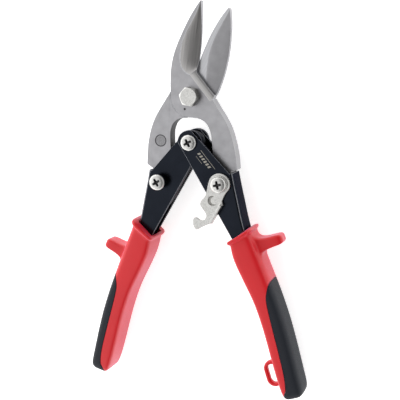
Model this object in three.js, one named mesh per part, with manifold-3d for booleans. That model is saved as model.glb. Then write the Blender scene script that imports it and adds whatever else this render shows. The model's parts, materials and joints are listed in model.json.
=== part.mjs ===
// Compound-action aviation snips, lying on their back with the blades along +Y.
// Millimetres. X = Y = 0 is the blade pivot; Z = 0 is the surface that they lie on.
import * as THREE from 'three';
import { mergeVertices } from 'three/addons/utils/BufferGeometryUtils.js';
import Module from 'manifold-3d';

const wasm = await Module();
wasm.setup();

// ---- Driving dimensions ------------------------------------------------------------
// Heights are measured from the shear plane, where the two blades slide on each other.
// Angles are in degrees, and GAP is the clearance between neighbouring pieces.
const SHEAR_HEIGHT = 14.2;
const GAP = 0.3;
const DEGREE = Math.PI / 180;

const CENTRE_PIVOT = [0, -28.8];
const ARM_PIVOT = [20.5, -54.3];
const LEFT_PIVOT = [-ARM_PIVOT[0], ARM_PIVOT[1]];
const CLOSED_PIVOT_SPACING = 23.5;

const BLADE_THICKNESS = 4.5;
const SHEAR_GAP = 0.15;
const BLADE_BOSS_RADIUS = 13.7;
const BOSS_CLEARANCE_RADIUS = 14.05;
const ARM_EYE_RADIUS = 7.2;
const GRIND_RADIUS = 14;
const SHOULDER_SLOPE_WIDTH = 4.2;
const SHOULDER_FALL = 1.3;

const PLATE = 2;
const INNER_PLATE_BASE = 4.9;
const INNER_PLATE_TOP = INNER_PLATE_BASE + PLATE;
const OUTER_PLATE_BASE = INNER_PLATE_TOP + GAP;
const OUTER_PLATE_TOP = OUTER_PLATE_BASE + PLATE;
const LOBE_RADIUS = 7.8;
const INNER_EDGE_TILT = 31;
const UPPER_EDGE_TILT = 45;
const UPPER_EDGE_REACH = 7.1;
const OUTER_PLATE_RECESS = 1.4;

const BOLT_RADIUS = 3.2;
const BOLT_HEAD_ACROSS_CORNERS = 12.8;
const BOLT_HEAD_HEIGHT = 5.2;
const BOLT_HEAD_TURN = -10;
const BOLT_WASHER_RADIUS = 7;
const BOLT_WASHER_THICKNESS = 1.2;
const BOLT_END_LENGTH = 0.6;

const SCREW_RADIUS = 2.6;
const SCREW_HOLE_RADIUS = 2.9;
const OPEN_PIVOT_HOLE_RADIUS = 3.3;
const SCREW_HEAD_RADIUS = 5.1;
const SCREW_HEAD_HEIGHT = 2.7;
const CROSS_RECESS_DEPTH = 1.3;
const SCREW_NUT_ACROSS_CORNERS = 9.2;
const SCREW_NUT_HEIGHT = 3.7;
const SCREW_NECK_TOP = 12.4;
const BUSH_RADIUS = 4.3;
const BUSH_HALF_LENGTH = 4.6;
const SPACER_RADIUS = 5.5;
const COLLAR_RADIUS = 4.4;
const COLLAR_TOP = 9.1;

const SPRING_WIRE = 1.7;
const SPRING_COIL_RADIUS = 5.7;
const SPRING_PITCH = 2;
const SPRING_TURNS_PER_HALF = 1.5;
const SPRING_LEG_HEIGHT = 3.75;
// The leg's points, as how far down the handle's open side and how far in from it.
const SPRING_LEG = [[12, 0], [28, 0], [44, 0], [47, 1], [52, 7.4], [53.5, 9.2]];

const LATCH_BASE = OUTER_PLATE_TOP + GAP;
const LATCH_THICKNESS = 2.2;
const LATCH_EYE_RADIUS = 6.9;
const LATCH_NOTCH_RADIUS = 3.1;
const LATCH_DIRECTION = 240;
const LATCH_WASHER_RADIUS = 5.6;
const LATCH_WASHER_THICKNESS = 0.8;
const THUMB_TAB_HEIGHT = 3;

// A grip's outline is given along its axis (s, downwards) and across it (t, outwards).
const GRIP_TOP = [33, -85.8];
const GRIP_TILT = 17.1;
const RING_POINTS = 20;
const INNER_SQUARENESS = 8;
const OUTER_SQUARENESS = 4.2;
const PAD_THICKNESS = 1.2;
const POCKET_HALF_DEPTH = OUTER_PLATE_TOP + GAP;
const POCKET_END_ROOM = 0.9;
const CORE_END = 104;
const CORE_END_HALF_DEPTH = 10.9;
const GRIP_WAIST = 64;
const RIM_HALF_DEPTH = SHEAR_HEIGHT;
const HORN_HALF_DEPTH = 6.5;
const HORN_TIP_RADIUS = 2.9;
const LOOP_S = 93.5;
const LOOP_T = -6.9;
const LOOP_HOLE_HALF_WIDTH = 2.9;
const LOOP_HOLE_HALF_LENGTH = 6.2;
const LOOP_WALL = 2.6;
const LOOP_HALF_DEPTH = 2.4;
const LOOP_LIFT = 2;

// Each row is a section of the grip: inner s and t, outer s and t, and half its depth.
const GRIP_STATIONS = [
  [4.4, -7.9, -0.5, 7.1, 12.2],
  [14, -8.6, 11, 8.3, 12.2],
  [27, -6.9, 26, 9.7, 12.1],
  [45, -3.8, 45, 11.2, 12],
  [64, -3.1, 64, 11.9, 11.9],
  [84, -3.7, 84, 11.3, 11.7],
  [100, -3.9, 100, 10.5, 11.5],
  [106, -3.6, 106, 10.3, 11.2],
  [109.6, -2.6, 109.6, 9.1, 10],
  [111, -0.2, 111, 6.6, 7.6],
];
const RIM_STATIONS = [
  [2.8, -8.7, -2.4, 7.9, 13.4],
  [3.3, -9.2, -1.9, 8.4, RIM_HALF_DEPTH],
  [4.6, -9.2, -0.6, 8.4, RIM_HALF_DEPTH],
  [5.2, -8.2, 0.2, 7.5, 12.6],
];
// How the two grips differ, both drawn as right ones: where the pad starts, as s and t, what
// share of the length below the waist is left, how far the rim's outer side is raised, and
// where the finger guard stands.
const RIGHT_GRIP = {
  padEdge: [[31, 12.5], [35, 9.6], [39, 7.4], [44, 5.4], [51, 4.6], [60, 4.1], [75, 3.4], [92, 2.4],
    [103, 0.6], [107.5, -2], [113, -5]],
  lowerShare: 1,
  rimLift: -0.5,
  hornRoot: 11,
  hornTip: [56.8, -88.9],
};
const LEFT_GRIP = {
  padEdge: [[31, 12.5], [35, 9.6], [39, 7.4], [44, 5.7], [51, 5.2], [60, 5], [75, 4.8], [92, 4.4], [103, 3],
    [107.5, 0.4], [113, -3]],
  lowerShare: 0.885,
  rimLift: 1.6,
  hornRoot: 22,
  hornTip: [58.6, -98.4],
};

// The folded edge of the right handle, and its open edge, both running downwards.
const HANDLE_OUTER_EDGE = [[28.7, -47.3], [30.4, -56], [32.6, -66], [35, -77], [38.2, -88], [43.5, -100.5],
  [48.9, -115], [56.2, -134.9], [62.2, -156.5], [64.5, -166.5]];
const HANDLE_INNER_EDGE = [[27, -90.3], [37.2, -112.8], [45.7, -129.4], [51.8, -147.4], [56.9, -166]];

// ---- Materials ---------------------------------------------------------------------
const material = (color, roughness, metalness) =>
  new THREE.MeshStandardMaterial({ color, roughness, metalness });
const FORGED_STEEL = material(0x9b9aa0, 0.42, 0.9);
const ZINC_PLATE = material(0xd6d4ce, 0.3, 0.95);
const BLACK_STEEL = material(0x22252b, 0.38, 0.6);
const SPRING_STEEL = material(0x4a4c52, 0.35, 0.85);
const RED_GRIP = material(0xc93038, 0.55, 0);
const GREY_PAD = material(0x33343a, 0.7, 0);

// ---- Plan outlines: lists of [x, y] ------------------------------------------------
function arc(centre, radius, startDegrees, endDegrees, steps) {
  return Array.from({ length: steps + 1 }, (_, i) => {
    const angle = (startDegrees + (endDegrees - startDegrees) * i / steps) * DEGREE;
    return [centre[0] + radius * Math.cos(angle), centre[1] + radius * Math.sin(angle)];
  });
}

function circle(centre, radius, steps = 24) {
  return arc(centre, radius, 0, 360 * (steps - 1) / steps, steps - 1);
}

function smooth(points, steps) {
  const curve = new THREE.SplineCurve(points.map(([x, y]) => new THREE.Vector2(x, y)));
  return curve.getPoints(steps).map(({ x, y }) => [x, y]);
}

function bend(start, control, end, steps = 5) {
  const [a, b, c] = [start, control, end].map(([x, y]) => new THREE.Vector2(x, y));
  return new THREE.QuadraticBezierCurve(a, b, c).getPoints(steps).map(({ x, y }) => [x, y]);
}

// Moves an open outline sideways: a positive distance is to the left of its direction.
function offset(points, distance) {
  return points.map(([x, y], i) => {
    const before = points[Math.max(i - 1, 0)];
    const after = points[Math.min(i + 1, points.length - 1)];
    const length = Math.hypot(after[0] - before[0], after[1] - before[1]);
    return [x - distance * (after[1] - before[1]) / length, y + distance * (after[0] - before[0]) / length];
  });
}

const mirrored = (points) => points.map(([x, y]) => [-x, y]);

// ---- Solids ------------------------------------------------------------------------
function solid(geometry) {
  geometry.deleteAttribute('normal');
  geometry.deleteAttribute('uv');
  const merged = mergeVertices(geometry, 1e-4);
  return new wasm.Manifold(new wasm.Mesh({
    numProp: 3,
    vertProperties: merged.attributes.position.array,
    triVerts: Uint32Array.from(merged.index.array),
  }));
}

function prism(outline, bottom, top, holes = []) {
  const points = (list) => list.map(([x, y]) => new THREE.Vector2(x, y));
  const shape = new THREE.Shape(points(outline));
  shape.holes = holes.map((hole) => new THREE.Path(points(hole)));
  const geometry = new THREE.ExtrudeGeometry(shape, { depth: top - bottom, bevelEnabled: false });
  geometry.translate(0, 0, bottom);
  return solid(geometry);
}

const disc = (centre, radius, bottom, top) => prism(circle(centre, radius), bottom, top);
const hole = (centre, radius) => disc(centre, radius, -SHEAR_HEIGHT - 1, SHEAR_HEIGHT + 4);

function washer(centre, radius, holeRadius, bottom, top) {
  return prism(circle(centre, radius), bottom, top, [circle(centre, holeRadius)]);
}

// Turns a profile of [radius, height] pairs round a vertical line through a plan point.
function turned(centre, profile, steps = 24) {
  const geometry = new THREE.LatheGeometry(profile.map(([r, h]) => new THREE.Vector2(r, h)), steps);
  geometry.rotateX(Math.PI / 2);
  geometry.translate(centre[0], centre[1], 0);
  return solid(geometry);
}

function box(centre, size) {
  const geometry = new THREE.BoxGeometry(...size);
  geometry.translate(...centre);
  return solid(geometry);
}

// Skins a row of rings, each with the same number of points, and closes both ends.
function loft(rings) {
  const count = rings[0].length;
  const middle = (ring) => ring.reduce((sum, p) => sum.add(p), new THREE.Vector3()).divideScalar(count);
  const points = [...rings.flat(), middle(rings[0].map((p) => p.clone())),
    middle(rings.at(-1).map((p) => p.clone()))];
  const first = rings.length * count;
  const faces = [];
  for (let i = 0; i < count; i += 1) {
    const next = (i + 1) % count;
    faces.push([first, next, i], [first + 1, first - count + i, first - count + next]);
    for (let ring = 0; ring < rings.length - 1; ring += 1) {
      const here = ring * count;
      const there = here + count;
      faces.push([here + i, here + next, there + next], [here + i, there + next, there + i]);
    }
  }
  const geometry = new THREE.BufferGeometry().setFromPoints(points);
  geometry.setIndex(faces.flat());
  return solid(geometry);
}

const parts = new THREE.Group();
parts.position.z = SHEAR_HEIGHT;

function addPart(name, shape, finish) {
  const { vertProperties, triVerts } = shape.getMesh();
  const geometry = new THREE.BufferGeometry();
  geometry.setAttribute('position', new THREE.BufferAttribute(vertProperties, 3));
  geometry.setIndex(new THREE.BufferAttribute(triVerts, 1));
  geometry.computeVertexNormals();
  const mesh = new THREE.Mesh(geometry, finish);
  mesh.name = name;
  parts.add(mesh);
}

// ---- Blades ------------------------------------------------------------------------
const UPPER_JAW_EDGE = smooth(
  [[3.4, 15.1], [5.1, 24.4], [6.1, 31.3], [6.9, 40.7], [7.2, 50.1], [7.3, 58.9]], 10);
const UPPER_JAW_BACK = smooth(
  [[7.0, 59.3], [3.3, 54.4], [-1.5, 47], [-5.7, 38.9], [-9.2, 31.5], [-11.7, 24.5], [-13.2, 16.8],
    [-13.7, 8]], 14);
const UPPER_ARM_INSIDE = smooth(
  [[-5.1, -12.7], [-1.6, -13.2], [4.6, -13.9], [8, -15.3], [10.6, -17.8], [12.6, -22], [13.6, -28],
    [14, -36], [13.3, -54.3]], 18);
const UPPER_ARM_OUTSIDE = smooth(
  [[30.1, -45.9], [29.7, -40], [28.9, -34.5], [27.2, -27], [24.9, -20], [21.7, -13.7], [17.9, -7.9],
    [14.2, -1.9]], 12);

const LOWER_JAW_EDGE = smooth(
  [[23.6, 54.6], [18.6, 48.7], [12.2, 38.6], [7.2, 28.5], [3.1, 18.5], [2.1, 15.4]], 12);
const LOWER_JAW_BACK = smooth(
  [[14.1, -0.6], [16.1, 2.9], [19, 10], [21.2, 17], [23.2, 25.9], [24.3, 34.6], [24.9, 45.1],
    [24.4, 53.6]], 14);
const LOWER_ARM_INSIDE = smooth(
  [[-13.3, -54.3], [-14, -36], [-14.2, -24.5], [-13.4, -20], [-11.7, -16.7], [-8.5, -14.3], [-4.6, -13.6],
    [1.6, -13.2], [5.1, -12.7]], 18);
const LOWER_ARM_OUTSIDE = smooth(
  [[-13.9, 2.6], [-17.3, -2.4], [-20.9, -7.8], [-24.5, -13.8], [-27.2, -20.4], [-29.1, -28.1], [-30, -35.4],
    [-30.5, -43.8]], 12);

const ARM_SHOULDER = [26.1, -46.7];
const UPPER_SHOULDER_LINE = [[15.2, 0.4], [3.4, 15.1]];
const LOWER_SHOULDER_LINE = [[2.1, 15.4], [-13.9, 2.6]];

const upperArm = [...UPPER_ARM_INSIDE, ...arc(ARM_PIVOT, ARM_EYE_RADIUS, 190, 350, 10), ARM_SHOULDER,
  ...UPPER_ARM_OUTSIDE];
const lowerArm = [...LOWER_ARM_OUTSIDE, ...mirrored([ARM_SHOULDER]),
  ...arc(LEFT_PIVOT, ARM_EYE_RADIUS, 190, 350, 10), ...LOWER_ARM_INSIDE];

// A forged blade. Its jaw and boss fill one side of the shear plane. Outside the circle that
// the other blade's boss turns in, and clear of the other jaw, its arm fills both sides.
function blade({ plan, arm, otherJaw, side, pivot, cuts }) {
  const halves = [SHEAR_GAP, BLADE_THICKNESS].map((height) => height * side);
  const ownSide = [Math.min(...halves), Math.max(...halves)];
  const otherSide = side > 0 ? [-BLADE_THICKNESS - 1, SHEAR_GAP] : [-SHEAR_GAP, BLADE_THICKNESS + 1];
  const thickArm = prism(arm, -BLADE_THICKNESS, BLADE_THICKNESS)
    .subtract(disc([0, 0], BOSS_CLEARANCE_RADIUS, ...otherSide))
    .subtract(prism(otherJaw, ...otherSide));
  let whole = prism(plan, ...ownSide).add(thickArm);
  for (const cut of cuts) whole = whole.subtract(cut);
  return whole.subtract(hole([0, 0], BOLT_RADIUS + GAP)).subtract(hole(pivot, SCREW_HOLE_RADIUS));
}

// A hollow grind is a long shallow scoop, tilted so that it deepens towards the cutting edge.
function hollowGrind(centre, halfWidth, halfLength, depth, turn, side) {
  const geometry = new THREE.SphereGeometry(1, 28, 16);
  geometry.rotateX(Math.PI / 2);
  geometry.scale(halfWidth, halfLength, GRIND_RADIUS);
  geometry.rotateZ(turn * DEGREE);
  geometry.translate(centre[0], centre[1], side * (BLADE_THICKNESS + GRIND_RADIUS - depth));
  return solid(geometry);
}

// The slope that falls from a blade's face to its shoulder line beside the pivot.
function shoulderSlope([start, end], side) {
  const along = new THREE.Vector2(end[0] - start[0], end[1] - start[1]);
  const rise = SHOULDER_FALL + 1;
  const run = SHOULDER_SLOPE_WIDTH * rise / SHOULDER_FALL;
  const foot = side * (BLADE_THICKNESS - SHOULDER_FALL);
  const top = foot + side * rise;
  const wedge = new THREE.Shape([[-1, foot], [0, foot], [run, top], [-1, top]]
    .map(([x, y]) => new THREE.Vector2(x, y)));
  const geometry = new THREE.ExtrudeGeometry(wedge, { depth: along.length() + 2, bevelEnabled: false });
  geometry.translate(0, 0, -1);
  geometry.rotateX(Math.PI / 2);
  geometry.rotateZ(along.angle() + Math.PI / 2);
  geometry.translate(start[0], start[1], 0);
  return solid(geometry);
}

addPart('upper_blade', blade({
  plan: [...UPPER_JAW_EDGE, ...UPPER_JAW_BACK, ...arc([0, 0], BLADE_BOSS_RADIUS, 180, 246, 8), ...upperArm,
    UPPER_SHOULDER_LINE[0]],
  arm: [...upperArm, [0, -4]],
  otherJaw: offset(LOWER_JAW_BACK, GAP).concat([[0, 40]]),
  side: 1,
  pivot: ARM_PIVOT,
  cuts: [hollowGrind([9.5, 35.5], 15, 27, 3, -8, 1), shoulderSlope(UPPER_SHOULDER_LINE, 1)],
}), FORGED_STEEL);

addPart('lower_blade', blade({
  plan: [...LOWER_JAW_BACK, ...LOWER_JAW_EDGE, ...lowerArm, ...arc([0, 0], BLADE_BOSS_RADIUS, -66, -6, 8)],
  arm: [...lowerArm, [0, -4]],
  otherJaw: [[0, 40], [-BOSS_CLEARANCE_RADIUS, 40], [-BOSS_CLEARANCE_RADIUS, 0], [0, 0]],
  side: -1,
  pivot: LEFT_PIVOT,
  cuts: [hollowGrind([4.5, 36], 15, 27, 3, -24, -1), shoulderSlope(LOWER_SHOULDER_LINE, -1)],
}), FORGED_STEEL);

// ---- Blade pivot -------------------------------------------------------------------
function hexPrism(centre, acrossCorners, bottom, top, turn = 0) {
  const corners = Array.from({ length: 6 }, (_, i) => {
    const angle = (turn + i * 60) * DEGREE;
    return [centre[0] + acrossCorners / 2 * Math.cos(angle), centre[1] + acrossCorners / 2 * Math.sin(angle)];
  });
  return prism(corners, bottom, top);
}

// Rounds off the corners of a hexagon's top end, as turning does.
function cornerChamfer(centre, acrossCorners, bottom, top) {
  const flat = acrossCorners * 0.43;
  const drop = (acrossCorners / 2 - flat) * 0.6;
  const reach = acrossCorners / 2 + 0.1;
  return turned(centre, [[0, bottom], [reach, bottom], [reach, top - drop], [flat, top], [0, top]]);
}

const boltHeadBase = BLADE_THICKNESS + GAP;
const boltHeadTop = boltHeadBase + BOLT_HEAD_HEIGHT;
const boltHead = hexPrism([0, 0], BOLT_HEAD_ACROSS_CORNERS, boltHeadBase, boltHeadTop, BOLT_HEAD_TURN)
  .intersect(cornerChamfer([0, 0], BOLT_HEAD_ACROSS_CORNERS, boltHeadBase, boltHeadTop));
addPart('pivot_bolt', boltHead.add(disc([0, 0], BOLT_RADIUS, -SHEAR_HEIGHT, boltHeadBase + 1)), ZINC_PLATE);

const washerTop = -BLADE_THICKNESS - GAP;
const washerBottom = washerTop - BOLT_WASHER_THICKNESS;
const boltHoleRadius = BOLT_RADIUS + GAP;
addPart('pivot_washer', washer([0, 0], BOLT_WASHER_RADIUS, boltHoleRadius, washerBottom, washerTop),
  ZINC_PLATE);

const boltNutTop = washerBottom - GAP;
const boltNutBottom = -SHEAR_HEIGHT + BOLT_END_LENGTH;
addPart('pivot_nut', hexPrism([0, 0], BOLT_HEAD_ACROSS_CORNERS, boltNutBottom, boltNutTop)
  .subtract(hole([0, 0], boltHoleRadius)), ZINC_PLATE);

// ---- Handles: folded channels, open towards each other ------------------------------
const innerEdgeNormal = 180 + INNER_EDGE_TILT;
const upperEdgeNormal = 90 - UPPER_EDGE_TILT;

// A side plate of the right handle. The outer plate is recessed from the inner one.
function platePlan(recess) {
  const slip = Math.acos((LOBE_RADIUS - recess) / LOBE_RADIUS) / DEGREE;
  const upperSlip = Math.acos((UPPER_EDGE_REACH - recess / 2) / LOBE_RADIUS) / DEGREE;
  return [
    ...arc(CENTRE_PIVOT, LOBE_RADIUS, innerEdgeNormal - slip, upperEdgeNormal + upperSlip, 16),
    ...HANDLE_OUTER_EDGE,
    ...offset(HANDLE_INNER_EDGE, recess).reverse(),
  ];
}

function rightHandle() {
  const web = [...HANDLE_OUTER_EDGE, ...offset(HANDLE_OUTER_EDGE, -PLATE).reverse()];
  return prism(platePlan(OUTER_PLATE_RECESS), OUTER_PLATE_BASE, OUTER_PLATE_TOP)
    .add(prism(platePlan(0), -INNER_PLATE_TOP, -INNER_PLATE_BASE))
    .add(prism(web, -INNER_PLATE_TOP, OUTER_PLATE_TOP))
    .subtract(hole(ARM_PIVOT, SCREW_HOLE_RADIUS));
}

// The left handle is the same pressing, turned over about the Y axis.
const turnedOver = (shape) => shape.rotate([0, 180, 0]);

addPart('right_handle', rightHandle().subtract(hole(CENTRE_PIVOT, SCREW_HOLE_RADIUS)), BLACK_STEEL);
addPart('left_handle', turnedOver(rightHandle())
  .subtract(hole(CENTRE_PIVOT, OPEN_PIVOT_HOLE_RADIUS)), BLACK_STEEL);

// ---- Handle screws, nuts, bushes and spacers ----------------------------------------
function crossRecess(centre, top) {
  const size = [[4.6, 1.1], [1.1, 4.6]];
  return size.map(([x, y]) => box([...centre, top], [x, y, 2 * CROSS_RECESS_DEPTH]))
    .reduce((whole, slot) => whole.add(slot));
}

function panScrew(centre, headBase, end) {
  const top = headBase + SCREW_HEAD_HEIGHT;
  const rim = SCREW_HEAD_RADIUS;
  const head = turned(centre, [[0, headBase], [rim, headBase], [rim, headBase + 1], [rim - 0.7, top - 0.7],
    [rim - 2.3, top - 0.1], [0, top]]);
  return head.add(disc(centre, SCREW_RADIUS, end, headBase + 0.5)).subtract(crossRecess(centre, top));
}

function screwNut(centre, top) {
  return hexPrism(centre, SCREW_NUT_ACROSS_CORNERS, top - SCREW_NUT_HEIGHT, top)
    .subtract(hole(centre, SCREW_HOLE_RADIUS));
}

const outerNutTop = -OUTER_PLATE_TOP - GAP;
const innerNutTop = -INNER_PLATE_TOP - GAP;
const screwEnd = (nutTop) => nutTop - SCREW_NUT_HEIGHT - 0.4;

addPart('centre_screw', panScrew(CENTRE_PIVOT, OUTER_PLATE_TOP + GAP, screwEnd(outerNutTop)), ZINC_PLATE);
addPart('centre_nut', screwNut(CENTRE_PIVOT, outerNutTop), ZINC_PLATE);
const bushEnds = [-BUSH_HALF_LENGTH, BUSH_HALF_LENGTH];
addPart('centre_bush', washer(CENTRE_PIVOT, BUSH_RADIUS, SCREW_HOLE_RADIUS, ...bushEnds), BLACK_STEEL);

const latchTop = LATCH_BASE + LATCH_THICKNESS;
const latchWasherTop = latchTop + GAP + LATCH_WASHER_THICKNESS;
addPart('right_screw', panScrew(ARM_PIVOT, latchWasherTop + GAP, screwEnd(innerNutTop)), ZINC_PLATE);
const latchWasherFaces = [latchTop + GAP, latchWasherTop];
addPart('latch_washer', washer(ARM_PIVOT, LATCH_WASHER_RADIUS, SCREW_HOLE_RADIUS, ...latchWasherFaces),
  ZINC_PLATE);
addPart('right_nut', screwNut(ARM_PIVOT, innerNutTop), ZINC_PLATE);
const spacerFaces = [BLADE_THICKNESS + GAP, OUTER_PLATE_BASE - GAP];
addPart('right_spacer', washer(ARM_PIVOT, SPACER_RADIUS, SCREW_HOLE_RADIUS, ...spacerFaces), ZINC_PLATE);

addPart('left_screw', panScrew(LEFT_PIVOT, SCREW_NECK_TOP, screwEnd(outerNutTop)), ZINC_PLATE);
const collarFaces = [INNER_PLATE_TOP + GAP, COLLAR_TOP];
addPart('left_collar', washer(LEFT_PIVOT, COLLAR_RADIUS, SCREW_HOLE_RADIUS, ...collarFaces), BLACK_STEEL);
addPart('left_nut', screwNut(LEFT_PIVOT, outerNutTop), ZINC_PLATE);
addPart('left_spacer', turnedOver(washer(ARM_PIVOT, SPACER_RADIUS, SCREW_HOLE_RADIUS, ...spacerFaces)),
  ZINC_PLATE);

// ---- Handle spring: one torsion spring, as the half that each handle carries ---------
// The coil winds round the centre bush. A leg lies along the handle's open side, past the
// blade arm's eye, and then crosses to press on the folded web.
function springHalf() {
  const steps = 12;
  const coil = Array.from({ length: Math.round(SPRING_TURNS_PER_HALF * steps) + 1 }, (_, i) => {
    const angle = (innerEdgeNormal - i * 360 / steps) * DEGREE;
    return new THREE.Vector3(CENTRE_PIVOT[0] + SPRING_COIL_RADIUS * Math.cos(angle),
      CENTRE_PIVOT[1] + SPRING_COIL_RADIUS * Math.sin(angle), SPRING_LEG_HEIGHT - SPRING_PITCH * i / steps);
  }).reverse();
  const legStart = coil.at(-1);
  const tilt = INNER_EDGE_TILT * DEGREE;
  const along = new THREE.Vector3(Math.sin(tilt), -Math.cos(tilt), 0);
  const across = new THREE.Vector3(-along.y, along.x, 0);
  const leg = SPRING_LEG.map(([down, out]) =>
    legStart.clone().addScaledVector(along, down).addScaledVector(across, out));
  const path = new THREE.CatmullRomCurve3([...coil, ...leg], false, 'centripetal');
  const section = new THREE.Shape().absarc(0, 0, SPRING_WIRE / 2, 0, 2 * Math.PI);
  return solid(new THREE.ExtrudeGeometry(section, { steps: 60, curveSegments: 4, extrudePath: path }));
}

addPart('spring_right_half', springHalf(), SPRING_STEEL);
addPart('spring_left_half', turnedOver(springHalf()), SPRING_STEEL);

// ---- Latch --------------------------------------------------------------------------
// Its plan is drawn hanging straight down from the pivot, and then turned to its resting
// direction. The notch opens on its left, where the left screw's neck comes in.
function latch() {
  const reach = CLOSED_PIVOT_SPACING;
  const hookOutline = [
    ...arc([0, 0], LATCH_EYE_RADIUS, -20, 195, 14),
    [-5.3, -7], [-4.2, -11.5], [-4.8, -14.9], [-4.7, -17.1], [-3.7, -18.4], [-0.9, -19.7],
    ...arc([0, -reach], LATCH_NOTCH_RADIUS, 60, -95, 9),
    [-2.3, -26.5], [-3.4, -27.4], [-3.4, -29.1], [-1.7, -31.8], [0.7, -33.3], [2.2, -32.9], [4.3, -29.3],
    [7.4, -25], [8.6, -23.8], [8.6, -10.2], [6.9, -8.4],
  ];
  const plate = prism(hookOutline, LATCH_BASE, latchTop).subtract(hole([0, 0], SCREW_HOLE_RADIUS));
  const tab = box([7.8, -17.1, latchTop + THUMB_TAB_HEIGHT / 2 - 0.5], [1.6, 13.4, THUMB_TAB_HEIGHT + 1]);
  return plate.add(tab).rotate([0, 0, LATCH_DIRECTION - 270]).translate([...ARM_PIVOT, 0]);
}
addPart('latch', latch(), ZINC_PLATE);

// ---- Grips --------------------------------------------------------------------------
const gripPoint = (s, t) => [
  GRIP_TOP[0] + s * Math.sin(GRIP_TILT * DEGREE) + t * Math.cos(GRIP_TILT * DEGREE),
  GRIP_TOP[1] - s * Math.cos(GRIP_TILT * DEGREE) + t * Math.sin(GRIP_TILT * DEGREE),
];

// A rounded section across the grip, drawn in by an inset.
function gripRing([innerS, innerT, outerS, outerT, halfDepth], inset) {
  const inner = gripPoint(innerS, innerT);
  const outer = gripPoint(outerS, outerT);
  const halfWidth = Math.hypot(outer[0] - inner[0], outer[1] - inner[1]) / 2;
  const middle = [(inner[0] + outer[0]) / 2, (inner[1] + outer[1]) / 2];
  return Array.from({ length: RING_POINTS }, (_, i) => {
    const angle = (i + 0.5) * 2 * Math.PI / RING_POINTS;
    const power = 2 / (Math.cos(angle) > 0 ? OUTER_SQUARENESS : INNER_SQUARENESS);
    const squared = (value) => Math.sign(value) * Math.abs(value) ** power;
    const across = squared(Math.cos(angle)) * (halfWidth - inset) / halfWidth;
    const depth = squared(Math.sin(angle)) * (halfDepth - inset);
    return new THREE.Vector3(middle[0] + across * (outer[0] - inner[0]) / 2,
      middle[1] + across * (outer[1] - inner[1]) / 2, depth);
  });
}

const gripLoft = (stations, inset = 0) => loft(stations.map((station) => gripRing(station, inset)));

// The given sections as one of the two grips has them.
const placeDown = (grip, s) => (s < GRIP_WAIST ? s : GRIP_WAIST + (s - GRIP_WAIST) * grip.lowerShare);
const raised = (grip, s) => (s < 3 ? s - grip.rimLift : placeDown(grip, s));
const sections = (grip, stations) => stations.map(([innerS, innerT, outerS, outerT, halfDepth]) =>
  [placeDown(grip, innerS), innerT, raised(grip, outerS), outerT, halfDepth]);

const gripBody = (grip) => gripLoft(sections(grip, GRIP_STATIONS));
const gripRim = (grip) => gripLoft(sections(grip, RIM_STATIONS));

// The grip's inner core, which the pad is moulded onto.
function gripCore(grip, inset) {
  const end = [CORE_END - inset, -3.4, CORE_END - inset, 9.8, CORE_END_HALF_DEPTH];
  return gripLoft(sections(grip, [...GRIP_STATIONS.slice(1, 7), end]), inset);
}

// A finger guard: a tapered horn with concave roots, standing out from the grip's side.
function horn({ hornRoot, hornTip }) {
  const root = gripPoint(hornRoot, 4);
  const direction = Math.atan2(hornTip[1] - root[1], hornTip[0] - root[0]);
  const at = (along, aside) => [root[0] + along * Math.cos(direction) - aside * Math.sin(direction),
    root[1] + along * Math.sin(direction) + aside * Math.cos(direction)];
  const length = Math.hypot(hornTip[0] - root[0], hornTip[1] - root[1]);
  const turn = direction / DEGREE;
  return prism([
    ...bend(at(0, -11), at(5, -4.2), at(length, -HORN_TIP_RADIUS)),
    ...arc(hornTip, HORN_TIP_RADIUS, turn - 80, turn + 80, 6),
    ...bend(at(length, HORN_TIP_RADIUS), at(4.5, 3), at(1.5, 9)),
  ], -HORN_HALF_DEPTH, HORN_HALF_DEPTH);
}

// The loop that the closed tool hangs from: a flat ring with straight sides.
function hangLoop() {
  const stadium = (halfWidth, halfLength) => {
    const straight = halfLength - halfWidth;
    const turn = 270 + GRIP_TILT;
    const end = (sign) => gripPoint(LOOP_S + sign * straight, LOOP_T);
    return [...arc(end(1), halfWidth, turn - 90, turn + 90, 8),
      ...arc(end(-1), halfWidth, turn + 90, turn + 270, 8)];
  };
  return prism(stadium(LOOP_HOLE_HALF_WIDTH + LOOP_WALL, LOOP_HOLE_HALF_LENGTH + LOOP_WALL),
    LOOP_LIFT - LOOP_HALF_DEPTH, LOOP_LIFT + LOOP_HALF_DEPTH,
    [stadium(LOOP_HOLE_HALF_WIDTH, LOOP_HOLE_HALF_LENGTH)]);
}

// The overmoulded pad covers the outer side of the grip, from its edge line outwards.
function padRegion(grip, gap) {
  const line = smooth(grip.padEdge.map(([s, t]) => gripPoint(placeDown(grip, s), t)), 12);
  const outside = [gripPoint(125, -2), gripPoint(125, 30), gripPoint(34 - gap, 30)];
  return prism([...offset(line, -gap), ...outside], -20, 20);
}

// The pocket that the handle slides into, a little wider and longer than the handle.
function gripPocket() {
  const plan = [...offset(HANDLE_OUTER_EDGE, GAP), ...offset(HANDLE_INNER_EDGE, -GAP).reverse(), [16, -72.9]];
  const pocket = prism(plan, -POCKET_HALF_DEPTH, POCKET_HALF_DEPTH);
  const [x, y] = [Math.sin(GRIP_TILT * DEGREE), -Math.cos(GRIP_TILT * DEGREE)];
  return pocket.add(pocket.translate([POCKET_END_ROOM * x, POCKET_END_ROOM * y, 0]));
}

const gripPad = (grip) => gripBody(grip)
  .intersect(padRegion(grip, 0))
  .subtract(gripCore(grip, PAD_THICKNESS));

function gripMoulding(grip, extras = []) {
  let whole = gripBody(grip).subtract(padRegion(grip, GAP)).add(gripCore(grip, PAD_THICKNESS + GAP));
  for (const piece of [gripRim(grip), horn(grip), ...extras]) whole = whole.add(piece);
  return whole.subtract(gripPocket());
}

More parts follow.
